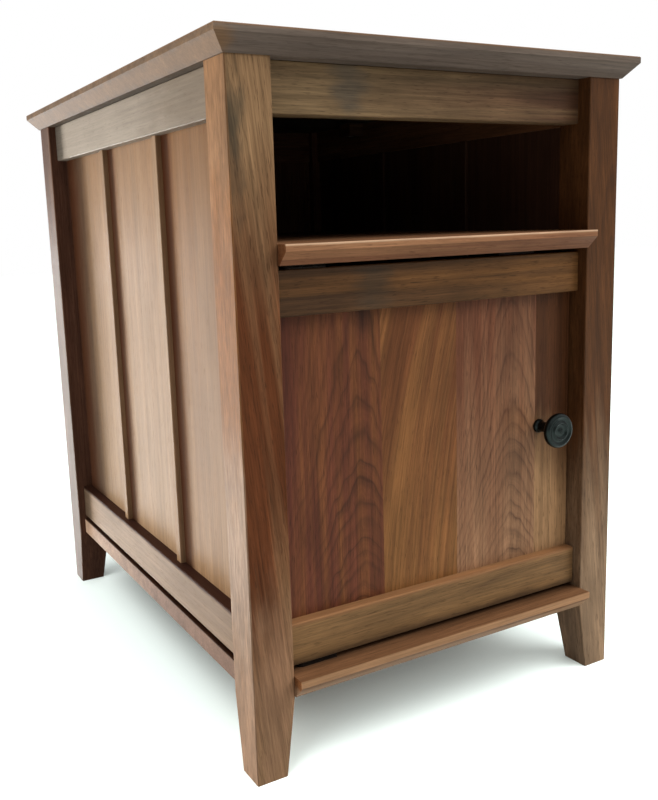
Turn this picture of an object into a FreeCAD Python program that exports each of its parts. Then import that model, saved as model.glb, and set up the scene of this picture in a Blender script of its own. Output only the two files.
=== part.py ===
"""Walnut storage side table: a post-and-panel case with an open cubby over a hinged door.

The origin is under the middle of the top, on the floor. X runs to the right, Y to the back
and Z up; the door is in the front, at -Y. All sizes are in millimetres.
"""
import FreeCAD, Part
import os
import re

# Driving sizes, one cell of the sheet each.
SIZES = {
    # The top: a slab with a narrow upright band and a wide bevel under it.
    "height": 635,
    "top_width": 454,
    "top_depth": 611,
    "top_thickness": 19.5,
    "top_band": 6,
    "top_overhang": 13.5,
    "top_bevel_run": 12,
    # Square legs, tapered at the foot on their two inner faces.
    "leg_width": 40,
    "foot_width": 30,
    "taper_height": 73,
    # Rails between the legs, with stub tenons.
    "rail_height": 42,
    "rail_thickness": 22,
    "rail_recess": 9,
    "front_rail_recess": 15.5,
    "front_rail_thickness": 20,
    "low_rail_height": 41,
    "low_rail_gap": 4.5,
    "tenon_thickness": 8,
    "tenon_length": 14,
    "tenon_shoulder": 6,
    # Panels in grooves, and the muntins between them.
    "panel_recess": 21,
    "panel_thickness": 7,
    "groove_depth": 4,
    "muntin_width": 12,
    "muntin_recess": 15.5,
    # Shelf and bottom board, with a nosing in front of the legs.
    "cubby_height": 103.5,
    "shelf_thickness": 17.5,
    "bottom_top": 93,
    "bottom_thickness": 19,
    "bottom_recess": 7.5,
    "nosing_reach": 13.5,
    "nosing_band": 6,
    "nosing_run": 12,
    "housing_depth": 6,
    "housing_setback": 12,
    # Cleats that hold the bottom board to the low rails.
    "cleat_width": 16,
    "cleat_height": 18,
    "cleat_screw_inset": 60,
    # Buttons that hold the top to the upper rails.
    "button_length": 28,
    "button_reach": 22,
    "button_height": 16,
    "button_tongue": 7,
    "button_grip": 6,
    "button_gap": 1,
    "button_offset": 140,
    # The door: glued upright boards, tongued into a top and a bottom rail.
    "door_side_gap": 1.6,
    "door_end_gap": 4,
    "door_recess": 10,
    "door_rail_height": 39.5,
    "door_rail_thickness": 22,
    "door_panel_setback": 11,
    "door_panel_thickness": 10,
    "door_tongue_thickness": 5,
    "door_tongue_length": 8,
    "door_second_board": 87,
    "door_third_board": 101.5,
    "door_fourth_board": 45.5,
    # Knife hinges at the ends of the door's left edge.
    "pivot_inset": 14,
    "pivot_setback": 6,
    "leaf_length": 40,
    "leaf_width": 10,
    "leaf_thickness": 2.5,
    "leaf_stand": 1.5,
    "hinge_pin_diameter": 4,
    "hinge_pin_play": 0.05,
    "hinge_pin_end_gap": 0.3,
    "washer_diameter": 9,
    "washer_thickness": 0.7,
    "leaf_screw_first": 14,
    "leaf_screw_second": 28,
    # Knob and its screw.
    "knob_inset": 41,
    "knob_base_diameter": 15,
    "knob_base_height": 5,
    "knob_stem_diameter": 10,
    "knob_stem_length": 24,
    "knob_neck_diameter": 19,
    "knob_neck_height": 5,
    "knob_disc_diameter": 35.5,
    "knob_disc_thickness": 8.5,
    "knob_rim_radius": 4,
    "knob_ring_diameter": 18,
    "knob_ring_wire": 2.4,
    "knob_dome_height": 1,
    "knob_tip_diameter": 5,
    "knob_tip_sink": 1,
    "knob_screw_diameter": 4,
    "knob_screw_grip": 12,
    "knob_screw_head": 8,
    "knob_screw_head_height": 2.5,
    # Magnetic catch under the shelf and its strike on the door.
    "catch_inset": 60,
    "catch_length": 46,
    "catch_depth": 15,
    "catch_height": 13,
    "catch_flange_depth": 10,
    "catch_flange_height": 3,
    "catch_air": 0.4,
    "magnet_length": 24,
    "magnet_depth": 10,
    "magnet_height": 5,
    "magnet_sink": 4,
    "strike_length": 34,
    "strike_height": 12,
    "strike_thickness": 1.5,
    # Wood screws: shank, head and length.
    "screw_diameter": 3.5,
    "screw_head": 7,
    "screw_length": 25,
    "small_screw_diameter": 2.2,
    "small_screw_head": 4.4,
    "small_screw_length": 12,
    "slot_width": 0.7,
    "slot_depth": 0.8,
    # Small chamfer on the edges that a hand meets.
    "arris": 0.8,
}

# Places worked out from the sizes, as formulas of their names.
PLACES = {
    "case_x": "top_width / 2 - top_overhang",
    "case_y": "top_depth / 2 - top_overhang",
    "leg_x": "case_x - leg_width",
    "leg_y": "case_y - leg_width",
    "under_top": "height - top_thickness",
    "rail_low": "under_top - rail_height",
    "rail_out_x": "case_x - rail_recess",
    "rail_in_x": "rail_out_x - rail_thickness",
    "rail_out_y": "case_y - rail_recess",
    "rail_in_y": "rail_out_y - rail_thickness",
    "front_rail_front": "-case_y + front_rail_recess",
    "front_rail_back": "front_rail_front + front_rail_thickness",
    "low_rail_low": "bottom_top + low_rail_gap",
    "low_rail_high": "low_rail_low + low_rail_height",
    "panel_out_x": "case_x - panel_recess",
    "panel_in_x": "panel_out_x - panel_thickness",
    "panel_out_y": "case_y - panel_recess",
    "panel_in_y": "panel_out_y - panel_thickness",
    "panel_low": "low_rail_high - groove_depth",
    "panel_high": "rail_low + groove_depth",
    "bay": "(2 * leg_y - 2 * muntin_width) / 3",
    "shelf_top": "rail_low - cubby_height",
    "shelf_low": "shelf_top - shelf_thickness",
    "bottom_low": "bottom_top - bottom_thickness",
    "nosing_front": "-case_y - nosing_reach",
    "cleat_top": "bottom_top + cleat_height",
    "cleat_in_x": "rail_in_x - cleat_width",
    "door_left": "-leg_x + door_side_gap",
    "door_right": "leg_x - door_side_gap",
    "door_low": "bottom_top + door_end_gap",
    "door_high": "shelf_low - door_end_gap",
    "door_front": "-case_y + door_recess",
    "door_back": "door_front + door_rail_thickness",
    "door_panel_front": "door_front + door_panel_setback",
    "door_panel_back": "door_panel_front + door_panel_thickness",
    "door_panel_middle": "(door_panel_front + door_panel_back) / 2",
    "door_panel_low": "door_low + door_rail_height",
    "door_panel_high": "door_high - door_rail_height",
    "fourth_joint": "door_right - door_fourth_board",
    "third_joint": "fourth_joint - door_third_board",
    "second_joint": "third_joint - door_second_board",
    "pivot_x": "door_left + pivot_inset",
    "pivot_y": "door_front + pivot_setback",
    "knob_x": "door_right - knob_inset",
    "knob_z": "(door_low + door_high) / 2",
    "knob_face": "knob_stem_length + knob_disc_thickness",
    "catch_x": "door_right - catch_inset",
    "catch_front": "door_back + strike_thickness + catch_air",
    "catch_back": "catch_front + catch_depth",
    "catch_low": "shelf_low - catch_height",
    "strike_z": "door_high - door_rail_height / 3",
}

doc = FreeCAD.newDocument("StorageSideTable")
sheet = doc.addObject("Spreadsheet::Sheet", "Sizes")
for row, (alias, value) in enumerate(SIZES.items(), start=1):
    sheet.set(f"A{row}", alias)
    sheet.set(f"B{row}", str(value))
    sheet.setAlias(f"B{row}", alias)
doc.recompute()

sub_parts = []


def formula(text):
    """Spell a formula of sizes and places as an expression on the sheet."""
    def spell(match):
        word = match.group(0)
        if word in PLACES:
            return f"({formula(PLACES[word])})"
        if word in SIZES:
            return f"Sizes.{word}"
        return word
    return re.sub(r"[a-z][a-z_]*", spell, text)


def minus(text):
    return f"-({text})"


def to_side(span, side):
    """A span given for the +X (or +Y) side, or its mirror image for side -1."""
    low, high = span
    return span if side > 0 else (minus(high), minus(low))


def box(name, xs, ys, zs):
    """A square-cut block between two planes in each direction."""
    block = doc.addObject("Part::Box", name)
    for length, axis, (low, high) in zip(("Length", "Width", "Height"), "xyz", (xs, ys, zs)):
        block.setExpression(length, formula(f"({high}) - ({low})"))
        block.setExpression(f"Placement.Base.{axis}", formula(low))
    return block


def frustum(name, low_xs, low_ys, high_xs, high_ys, zs):
    """A block whose outline changes evenly from its lower to its upper plane."""
    wedge = doc.addObject("Part::Wedge", name)
    wedge.Placement.Rotation = FreeCAD.Rotation(FreeCAD.Vector(1, 0, 0), 90)
    limits = {
        "Xmin": low_xs[0], "Xmax": low_xs[1], "Zmin": minus(low_ys[1]), "Zmax": minus(low_ys[0]),
        "X2min": high_xs[0], "X2max": high_xs[1], "Z2min": minus(high_ys[1]), "Z2max": minus(high_ys[0]),
        "Ymin": zs[0], "Ymax": zs[1],
    }
    for limit, text in limits.items():
        wedge.setExpression(limit, formula(text))
    return wedge


def cylinder(name, radius, height, at_z="0"):
    rod = doc.addObject("Part::Cylinder", name)
    rod.setExpression("Radius", formula(radius))
    rod.setExpression("Height", formula(height))
    rod.setExpression("Placement.Base.z", formula(at_z))
    return rod


def cone(name, low_radius, high_radius, height, at_z="0"):
    body = doc.addObject("Part::Cone", name)
    body.setExpression("Radius1", formula(low_radius))
    body.setExpression("Radius2", formula(high_radius))
    body.setExpression("Height", formula(height))
    body.setExpression("Placement.Base.z", formula(at_z))
    return body


def fuse(name, pieces):
    joined = doc.addObject("Part::MultiFuse", name)
    joined.Shapes = pieces
    joined.Refine = True
    return joined


def cut(name, base, tools):
    """Take the pieces that enter a piece out of it, so that they fit."""
    result = doc.addObject("Part::Cut", name)
    result.Base = base
    result.Tool = tools[0] if len(tools) == 1 else fuse(f"{name}_cutters", tools)
    result.Refine = True
    return result


def place(piece, at, axis=(1, 0, 0), angle=0):
    """Turn a piece that was made along +Z and move its foot to a point."""
    piece.Placement.Rotation = FreeCAD.Rotation(FreeCAD.Vector(*axis), angle)
    for name, text in zip("xyz", at):
        piece.setExpression(f"Placement.Base.{name}", formula(text))
    return piece


def eased(name, base, chosen):
    """Chamfer the chosen edges of a piece by the arris."""
    doc.recompute()
    chamfer = doc.addObject("Part::Chamfer", name)
    chamfer.Base = base
    size = float(sheet.arris)
    chamfer.Edges = [(i, size, size) for i, edge in enumerate(base.Shape.Edges, start=1) if chosen(edge)]
    return chamfer


def runs_along(axis):
    """Choose the edges that run along an axis, within a few degrees."""
    def chosen(edge):
        way = edge.Vertexes[-1].Point - edge.Vertexes[0].Point
        return abs(getattr(way, axis)) > 0.98 * way.Length
    return chosen


def highest(edge):
    return edge.BoundBox.ZMin > float(sheet.height) - float(sheet.arris)


def sub_part(label, piece):
    """Keep a finished piece under the name of its file."""
    piece.Label = label
    sub_parts.append(piece)
    return piece


def group(label, pieces):
    """Keep several like pieces as separate solids under one name."""
    together = doc.addObject("Part::Compound", label)
    together.Links = pieces
    return sub_part(label, together)


def wood_screw(name, at, axis, angle, kind=""):
    """A cross-slotted countersunk screw and the core of its hole, made along -Z from the head's face."""
    radius = f"{kind}screw_diameter / 2"
    head = f"{kind}screw_head / 2"
    sink = f"({head}) - ({radius})"
    length = f"{kind}screw_length"
    core = place(fuse(f"{name}_core", [
        cone(f"{name}_head", radius, head, sink, minus(sink)),
        cylinder(f"{name}_shank", radius, f"{length} * 0.7", f"-{length} * 0.7"),
        cone(f"{name}_point", f"({radius}) / 4", radius, f"{length} * 0.3", minus(length)),
    ]), at, axis, angle)
    narrow = ("-slot_width / 2", "slot_width / 2")
    wide = (f"-({head}) * 0.6", f"({head}) * 0.6")
    deep = ("-slot_depth", "1")
    cross = place(fuse(f"{name}_cross", [
        box(f"{name}_slot", wide, narrow, deep),
        box(f"{name}_cross_slot", narrow, wide, deep),
    ]), at, axis, angle)
    return cut(name, core, [cross]), core


# Side frames: two rails, two muntins and three panels between the legs, on each side.
UPPER = ("rail_low", "under_top")
LOWER = ("low_rail_low", "low_rail_high")
SIDES = {"left": -1, "right": 1}
BAYS = ("front", "middle", "back")


def tenon_span(low, high):
    """The middle of a rail's thickness, as thick as its tenon."""
    middle = f"(({low}) + ({high})) / 2"
    return (f"{middle} - tenon_thickness / 2", f"{middle} + tenon_thickness / 2")


def shouldered(zs):
    return (f"{zs[0]} + tenon_shoulder", f"{zs[1]} - tenon_shoulder")


def side_rail(name, side, zs):
    """A rail along Y with a stub tenon at each end."""
    span = to_side(("rail_in_x", "rail_out_x"), side)
    bar = eased(f"{name}_eased", box(f"{name}_bar", span, ("-leg_y", "leg_y"), zs), runs_along("y"))
    reach = ("-leg_y - tenon_length", "leg_y + tenon_length")
    tenon = box(f"{name}_tenon", tenon_span(*span), reach, shouldered(zs))
    return fuse(f"{name}_blank", [bar, tenon])


def cross_rail(name, ys, zs):
    """A rail along X with a stub tenon at each end."""
    bar = eased(f"{name}_eased", box(f"{name}_bar", ("-leg_x", "leg_x"), ys, zs), runs_along("x"))
    reach = ("-leg_x - tenon_length", "leg_x + tenon_length")
    tenon = box(f"{name}_tenon", reach, tenon_span(*ys), shouldered(zs))
    return fuse(f"{name}_blank", [bar, tenon])


def side_panel(name, side, number):
    start = f"-leg_y + (bay + muntin_width) * {number} - groove_depth"
    span = to_side(("panel_in_x", "panel_out_x"), side)
    return box(name, span, (start, f"{start} + bay + 2 * groove_depth"), ("panel_low", "panel_high"))


def muntin(name, side, number):
    """A narrow upright between two panels, with a stub at each end in the rails' grooves."""
    start = f"-leg_y + (bay + muntin_width) * {number} + bay"
    ys = (start, f"{start} + muntin_width")
    face = to_side(("rail_in_x", "case_x - muntin_recess"), side)
    bar = eased(f"{name}_eased", box(f"{name}_bar", face, ys, ("low_rail_high", "rail_low")), runs_along("z"))
    stub = box(f"{name}_stub", to_side(("panel_in_x", "panel_out_x"), side), ys, ("panel_low", "panel_high"))
    return fuse(f"{name}_blank", [bar, stub])


rails = {}
panels = {}
muntins = {}
for side_name, side in SIDES.items():
    rails[side_name, "top"] = side_rail(f"{side_name}_top_rail", side, UPPER)
    rails[side_name, "low"] = side_rail(f"{side_name}_low_rail", side, LOWER)
    for number, bay_name in enumerate(BAYS):
        panel = side_panel(f"{side_name}_{bay_name}_panel", side, number)
        panels[side_name, bay_name] = sub_part(f"{side_name}_{bay_name}_panel", panel)
    for number, muntin_name in enumerate(("front", "back")):
        blank = muntin(f"{side_name}_{muntin_name}_muntin", side, number)
        grooved = cut(f"{side_name}_{muntin_name}_muntin_cut", blank,
                      [panels[side_name, BAYS[number]], panels[side_name, BAYS[number + 1]]])
        muntins[side_name, muntin_name] = sub_part(f"{side_name}_{muntin_name}_muntin", grooved)

# Front rail over the cubby, and the back's rails with one wide panel.
BACK = ("rail_in_y", "rail_out_y")
rails["front", "top"] = cross_rail("front_rail", ("front_rail_front", "front_rail_back"), UPPER)
rails["back", "top"] = cross_rail("back_top_rail", BACK, UPPER)
rails["back", "low"] = cross_rail("back_low_rail", BACK, LOWER)
back_panel = sub_part("back_panel", box(
    "back_panel", ("-leg_x - groove_depth", "leg_x + groove_depth"), ("panel_in_y", "panel_out_y"),
    ("panel_low", "panel_high")))


# Shelf and bottom board: housed in the legs, with a bevelled nosing in front of them.
def nosed_board(name, half_width, back, low, high):
    """A board with a band and an under-bevel on its front edge, notched round the four legs."""
    xs = (minus(half_width), half_width)
    band_low = f"{high} - nosing_band"
    upper = box(f"{name}_band", xs, ("nosing_front", back), (band_low, high))
    lower = frustum(f"{name}_bevel", xs, ("nosing_front + nosing_run", back), xs, ("nosing_front", back),
                    (low, band_low))
    zs = (f"{low} - 1", f"{high} + 1")
    nose_ys = ("nosing_front - 1", "-case_y + housing_setback")
    notches = []
    for side_name, side in SIDES.items():
        outside = to_side(("leg_x", f"{half_width} + 1"), side)
        housed = to_side(("leg_x + housing_depth", f"{half_width} + 1"), side)
        notches += [
            box(f"{name}_{side_name}_nose_notch", outside, nose_ys, zs),
            box(f"{name}_{side_name}_front_notch", housed, ("nosing_front - 1", "-leg_y"), zs),
            box(f"{name}_{side_name}_back_notch", housed, ("leg_y", f"{back} + 1"), zs),
        ]
    return cut(f"{name}_blank", fuse(f"{name}_board", [upper, lower]), notches)


shelf_blank = nosed_board("shelf", "rail_in_x", "rail_in_y", "shelf_low", "shelf_top")
bottom_blank = nosed_board("bottom_board", "(case_x - bottom_recess)", "case_y - bottom_recess",
                           "bottom_low", "bottom_top")


# Legs: straight outside, tapered inside at the foot, cut for the tenons, panels and housings.
def leg_blank(name, side, end):
    """A square post on a tapered foot; side is -1 on the left, end is -1 in the front."""
    xs = to_side(("leg_x", "case_x"), side)
    ys = to_side(("leg_y", "case_y"), end)
    foot_xs = to_side(("case_x - foot_width", "case_x"), side)
    foot_ys = to_side(("case_y - foot_width", "case_y"), end)
    post = box(f"{name}_post", xs, ys, ("taper_height", "under_top"))
    foot = frustum(f"{name}_foot", foot_xs, foot_ys, xs, ys, ("0", "taper_height"))
    return eased(f"{name}_blank", fuse(f"{name}_square", [post, foot]), runs_along("z"))


for side_name, side in SIDES.items():
    for end_name, end in (("front", -1), ("back", 1)):
        name = f"{end_name}_{side_name}_leg"
        entering = [rails[side_name, "top"], rails[side_name, "low"], panels[side_name, end_name],
                    shelf_blank, bottom_blank]
        if end_name == "front":
            entering += [rails["front", "top"]]
        else:
            entering += [rails["back", "top"], rails["back", "low"], back_panel]
        sub_part(name, cut(f"{name}_cut", leg_blank(name, side, end), entering))


# Buttons: small blocks tongued into the upper rails and screwed up into the top.
def button(name, inner, way, across, along_y):
    """A block inside a rail's inner face, which lies at inner; way is the side the rail is on."""
    tip = to_side((f"{inner} - button_reach", f"{inner} - button_gap"), way)
    grip = to_side((f"{inner} - button_reach", f"{inner} + button_grip"), way)
    width = (f"{across} - button_length / 2", f"{across} + button_length / 2")
    block_z = ("under_top - button_height", "under_top")
    tongue_z = ("under_top - button_height", "under_top - button_height + button_tongue")
    if along_y:
        pieces = [box(f"{name}_block", tip, width, block_z), box(f"{name}_tongue", grip, width, tongue_z)]
    else:
        pieces = [box(f"{name}_block", width, tip, block_z), box(f"{name}_tongue", width, grip, tongue_z)]
    return fuse(f"{name}_blank", pieces)


button_rows = []
for side_name, side in SIDES.items():
    for number, across in enumerate(("-button_offset", "button_offset")):
        blank = button(f"{side_name}_button_{number}", "rail_in_x", side, across, True)
        button_rows.append((side_name, blank, (f"{side} * (rail_in_x - button_reach / 2)", across)))
for end_name, inner, end in (("front", "-front_rail_back", -1), ("back", "rail_in_y", 1)):
    blank = button(f"{end_name}_button", inner, end, "0", False)
    button_rows.append((end_name, blank, ("0", f"{end} * ({inner} - button_reach / 2)")))

rail_buttons = {}
buttons = []
button_screws = []
top_holes = []
for number, (rail_name, blank, (x, y)) in enumerate(button_rows):
    at = (x, y, "under_top - button_height")
    screw, core = wood_screw(f"button_screw_{number}", at, (1, 0, 0), 180)
    rail_buttons.setdefault(rail_name, []).append(blank)
    buttons.append(cut(f"button_{number}", blank, [core]))
    button_screws.append(screw)
    top_holes.append(core)
group("top_buttons", buttons)
group("top_button_screws", button_screws)

# Top: the slab's band over its bevel, with the button screws' holes underneath.
HALF_TOP = (("-top_width / 2", "top_width / 2"), ("-top_depth / 2", "top_depth / 2"))
UNDER_TOP = (("-top_width / 2 + top_bevel_run", "top_width / 2 - top_bevel_run"),
             ("-top_depth / 2 + top_bevel_run", "top_depth / 2 - top_bevel_run"))
top_band = box("top_band_slab", *HALF_TOP, ("height - top_band", "height"))
top_bevel = frustum("top_bevel_slab", *UNDER_TOP, *HALF_TOP, ("under_top", "height - top_band"))
top_blank = eased("top_blank", fuse("top_slab", [top_band, top_bevel]), highest)
sub_part("top", cut("top_cut", top_blank, top_holes))


# Cleats: strips inside the low rails, screwed down into the bottom board.
CLEAT_Z = ("bottom_top", "cleat_top")
CLEAT_X = ("cleat_in_x", "rail_in_x")
cleats = {
    "left": box("left_cleat", to_side(CLEAT_X, -1), ("-leg_y", "leg_y"), CLEAT_Z),
    "right": box("right_cleat", CLEAT_X, ("-leg_y", "leg_y"), CLEAT_Z),
    "back": box("back_cleat", ("-cleat_in_x", "cleat_in_x"), ("rail_in_y - cleat_width", "rail_in_y"),
                CLEAT_Z),
}
CLEAT_MIDDLE = "(rail_in_x - cleat_width / 2)"
ALONG_SIDE = ("-leg_y + cleat_screw_inset", "0", "leg_y - cleat_screw_inset")
ALONG_BACK = ("-cleat_in_x + cleat_screw_inset", "cleat_in_x - cleat_screw_inset")
cleat_places = {
    "left": [(minus(CLEAT_MIDDLE), y) for y in ALONG_SIDE],
    "right": [(CLEAT_MIDDLE, y) for y in ALONG_SIDE],
    "back": [(x, "rail_in_y - cleat_width / 2") for x in ALONG_BACK],
}
cleat_screws = []
bottom_holes = []
for cleat_name, places in cleat_places.items():
    cores = []
    for number, (x, y) in enumerate(places):
        screw, core = wood_screw(f"{cleat_name}_cleat_screw_{number}", (x, y, "cleat_top"), (1, 0, 0), 0)
        cleat_screws.append(screw)
        cores.append(core)
    bottom_holes += cores
    sub_part(f"bottom_{cleat_name}_cleat", cut(f"{cleat_name}_cleat_cut", cleats[cleat_name], cores))
group("bottom_cleat_screws", cleat_screws)

# Rails, grooved for their panels and muntins and slotted for the buttons.
for side_name in SIDES:
    grooves = [panels[side_name, bay_name] for bay_name in BAYS]
    grooves += [muntins[side_name, muntin_name] for muntin_name in ("front", "back")]
    upper = cut(f"{side_name}_top_rail_cut", rails[side_name, "top"], grooves + rail_buttons[side_name])
    sub_part(f"{side_name}_top_rail", upper)
    sub_part(f"{side_name}_low_rail", cut(f"{side_name}_low_rail_cut", rails[side_name, "low"], grooves))
sub_part("front_rail", cut("front_rail_cut", rails["front", "top"], rail_buttons["front"]))
behind = [back_panel] + rail_buttons["back"]
sub_part("back_top_rail", cut("back_top_rail_cut", rails["back", "top"], behind))
sub_part("back_low_rail", cut("back_low_rail_cut", rails["back", "low"], [back_panel]))


# Knife hinges: a leaf in the case, a leaf in the door's end, and a pin between them.
def leaf(name, low, high):
    """A flat bar with a round end about the pin."""
    bar = box(f"{name}_bar", ("pivot_x", "pivot_x + leaf_length - leaf_width / 2"),
              ("pivot_y - leaf_width / 2", "pivot_y + leaf_width / 2"), (low, high))
    end = cylinder(f"{name}_end", "leaf_width / 2", f"({high}) - ({low})")
    return fuse(f"{name}_blank", [bar, place(end, ("pivot_x", "pivot_y", low))])


def leaf_screws(name, face, angle):
    """Two countersunk screws through a leaf, with their heads flush in its face."""
    pairs = []
    for number, along in enumerate(("leaf_screw_first", "leaf_screw_second")):
        at = (f"pivot_x + {along}", "pivot_y", face)
        pairs.append(wood_screw(f"{name}_{number}", at, (1, 0, 0), angle, "small_"))
    return [screw for screw, core in pairs], [core for screw, core in pairs]


def upright(name, radius, low, high):
    rod = cylinder(name, radius, f"({high}) - ({low})")
    return place(rod, ("pivot_x", "pivot_y", low))


PIN = "hinge_pin_diameter / 2"
HOLE = "hinge_pin_diameter / 2 + hinge_pin_play"
hinges = {
    "top": {"case": ("shelf_low - leaf_stand", "shelf_low - leaf_stand + leaf_thickness"),
            "door": ("door_high + leaf_stand - leaf_thickness", "door_high + leaf_stand"),
            "pin": ("door_high + leaf_stand - leaf_thickness + hinge_pin_end_gap",
                    "shelf_low - leaf_stand + leaf_thickness"),
            "washer": "door_high + leaf_stand", "case_face": "shelf_low - leaf_stand",
            "door_face": "door_high + leaf_stand", "case_turn": 180, "door_turn": 0},
    "bottom": {"case": ("bottom_top + leaf_stand - leaf_thickness", "bottom_top + leaf_stand"),
               "door": ("door_low - leaf_stand", "door_low - leaf_stand + leaf_thickness"),
               "pin": ("bottom_top + leaf_stand - leaf_thickness",
                       "door_low - leaf_stand + leaf_thickness - hinge_pin_end_gap"),
               "washer": "bottom_top + leaf_stand", "case_face": "bottom_top + leaf_stand",
               "door_face": "door_low - leaf_stand", "case_turn": 0, "door_turn": 180},
}
case_screws = []
door_screws = []
case_sinks = {}
door_sinks = {}
for end_name, spot in hinges.items():
    pin = sub_part(f"hinge_{end_name}_pin", upright(f"{end_name}_pin", PIN, *spot["pin"]))
    case_leaf = leaf(f"{end_name}_case_leaf", *spot["case"])
    door_leaf = leaf(f"{end_name}_door_leaf", *spot["door"])
    screws, cores = leaf_screws(f"{end_name}_case_screw", spot["case_face"], spot["case_turn"])
    case_screws += screws
    case_sinks[end_name] = [case_leaf] + cores
    sub_part(f"hinge_{end_name}_case_leaf", cut(f"{end_name}_case_leaf_cut", case_leaf, cores + [pin]))
    screws, cores = leaf_screws(f"{end_name}_door_screw", spot["door_face"], spot["door_turn"])
    door_screws += screws
    door_sinks[end_name] = [door_leaf] + cores
    bore = upright(f"{end_name}_leaf_bore", HOLE, *spot["door"])
    sub_part(f"hinge_{end_name}_door_leaf", cut(f"{end_name}_door_leaf_cut", door_leaf, cores + [bore]))
    washer_span = (spot["washer"], f"{spot['washer']} + washer_thickness")
    disc = upright(f"{end_name}_washer_disc", "washer_diameter / 2", *washer_span)
    hole = upright(f"{end_name}_washer_hole", HOLE, *washer_span)
    sub_part(f"hinge_{end_name}_washer", cut(f"{end_name}_washer", disc, [hole]))
group("hinge_case_screws", case_screws)
group("hinge_door_screws", door_screws)

# Magnetic catch: a housing with a foot flange screwed up under the shelf, and a magnet in its face.
CATCH_XS = ("catch_x - catch_length / 2", "catch_x + catch_length / 2")
catch_block = box("catch_block", CATCH_XS, ("catch_front", "catch_back"), ("catch_low", "shelf_low"))
catch_flange = box("catch_flange", CATCH_XS, ("catch_back", "catch_back + catch_flange_depth"),
                   ("shelf_low - catch_flange_height", "shelf_low"))
magnet = sub_part("catch_magnet", box(
    "catch_magnet", ("catch_x - magnet_length / 2", "catch_x + magnet_length / 2"),
    ("catch_front", "catch_front + magnet_depth"),
    ("catch_low + magnet_sink", "catch_low + magnet_sink + magnet_height")))
catch_screws = []
catch_cores = []
for number, x in enumerate(("catch_x - catch_length / 3", "catch_x + catch_length / 3")):
    at = (x, "catch_back + catch_flange_depth / 2", "shelf_low - catch_flange_height")
    screw, core = wood_screw(f"catch_screw_{number}", at, (1, 0, 0), 180, "small_")
    catch_screws.append(screw)
    catch_cores.append(core)
catch_blank = fuse("catch_blank", [catch_block, catch_flange])
sub_part("catch_housing", cut("catch_housing_cut", catch_blank, [magnet] + catch_cores))
group("catch_screws", catch_screws)

# Strike: a thin steel plate on the back of the door's top rail, facing the magnet.
strike_blank = box("strike_blank", ("catch_x - strike_length / 2", "catch_x + strike_length / 2"),
                   ("door_back", "door_back + strike_thickness"),
                   ("strike_z - strike_height / 2", "strike_z + strike_height / 2"))
strike_screws = []
strike_cores = []
for number, x in enumerate(("catch_x - strike_length / 3", "catch_x + strike_length / 3")):
    at = (x, "door_back + strike_thickness", "strike_z")
    screw, core = wood_screw(f"strike_screw_{number}", at, (1, 0, 0), -90, "small_")
    strike_screws.append(screw)
    strike_cores.append(core)
sub_part("strike_plate", cut("strike_cut", strike_blank, strike_cores))
group("strike_screws", strike_screws)

# Shelf and bottom board, sunk for the hinge leaves and drilled for the screws.
sub_part("shelf", cut("shelf_cut", shelf_blank, case_sinks["top"] + catch_cores))
sub_part("bottom_board", cut("bottom_board_cut", bottom_blank, case_sinks["bottom"] + bottom_holes))

# Knob: a turned metal stem with a flared base and neck under a round-rimmed disc, with a ring and a tip.
disc = cylinder("knob_disc", "knob_disc_diameter / 2", "knob_disc_thickness", "knob_stem_length")
doc.recompute()
rim = doc.addObject("Part::Fillet", "knob_rim")
rim.Base = disc
rim_radius = float(sheet.knob_rim_radius)
rim.Edges = [(i, rim_radius, rim_radius) for i, edge in enumerate(disc.Shape.Edges, start=1)
             if len(edge.Vertexes) == 1]
ring = doc.addObject("Part::Torus", "knob_ring")
ring.setExpression("Radius1", formula("knob_ring_diameter / 2"))
ring.setExpression("Radius2", formula("knob_ring_wire / 2"))
ring.setExpression("Placement.Base.z", formula("knob_face"))
tip = doc.addObject("Part::Sphere", "knob_tip")
tip.setExpression("Radius", formula("knob_tip_diameter / 2"))
tip.setExpression("Placement.Base.z", formula("knob_face - knob_tip_sink"))
stem = "knob_stem_diameter / 2"
neck = "knob_neck_diameter / 2"
knob_body = fuse("knob_body", [
    cone("knob_base", "knob_base_diameter / 2", stem, "knob_base_height"),
    cylinder("knob_stem", stem, "knob_stem_length"),
    cone("knob_neck", stem, neck, "knob_neck_height", "knob_stem_length - knob_neck_height"),
    rim, ring, tip,
    cone("knob_dome", "knob_ring_diameter / 2", "knob_tip_diameter / 2", "knob_dome_height", "knob_face"),
])
AIM = ((1, 0, 0), 90)
KNOB_AT = ("knob_x", "door_panel_front", "knob_z")
place(knob_body, KNOB_AT, *AIM)

# Knob screw: from inside the door, through its board and into the knob's stem.
knob_shank = cylinder("knob_screw_shank", "knob_screw_diameter / 2",
                      "door_panel_thickness + knob_screw_grip", "-door_panel_thickness")
knob_head = cylinder("knob_screw_head_disc", "knob_screw_head / 2", "knob_screw_head_height",
                     "-door_panel_thickness - knob_screw_head_height")
knob_screw = fuse("knob_screw_body", [knob_shank, knob_head])
sub_part("knob_screw", place(knob_screw, KNOB_AT, *AIM))
sub_part("knob", cut("knob_cut", knob_body, [knob_screw]))

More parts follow.
